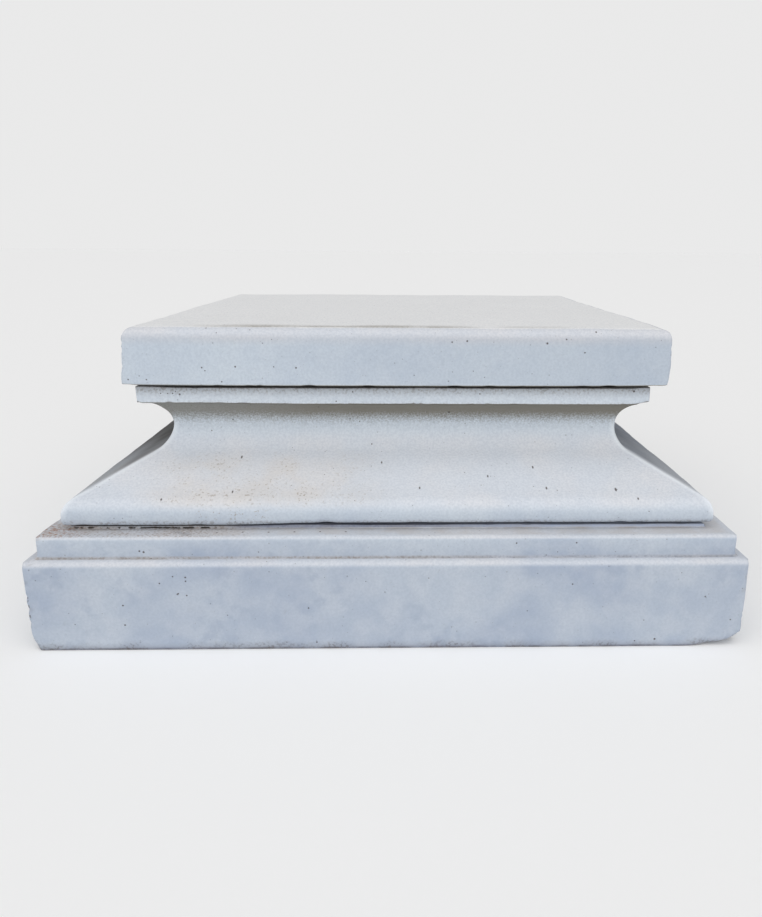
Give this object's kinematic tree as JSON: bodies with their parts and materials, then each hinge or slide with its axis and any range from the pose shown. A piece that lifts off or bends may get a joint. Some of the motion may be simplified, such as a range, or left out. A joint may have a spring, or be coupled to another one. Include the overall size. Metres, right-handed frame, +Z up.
{
  "type": "square column base",
  "caption": "Square moulded stone base for a column: plinth, fillet, flared moulding with a rounded nose, hollow neck, upper fillet and a thick slab whose flat top carries the shaft.",
  "frame": {"origin": "middle of the flat underside, on the ground", "axes": "+Z up from the underside to the top bed, +X to the right of the front face, -Y towards the front"},
  "size_m": [0.702, 0.702, 0.3079],
  "materials": {
    "marble": "rubbed pale blue-grey marble, worn cream-white on its edges and ledges, with soft cloudy patches, small dark pits, ochre stains on the flare and dirt in the sunk lines"
  },
  "bodies": {
    "root": {"column_base": "marble"}
  },
  "joints": []
}
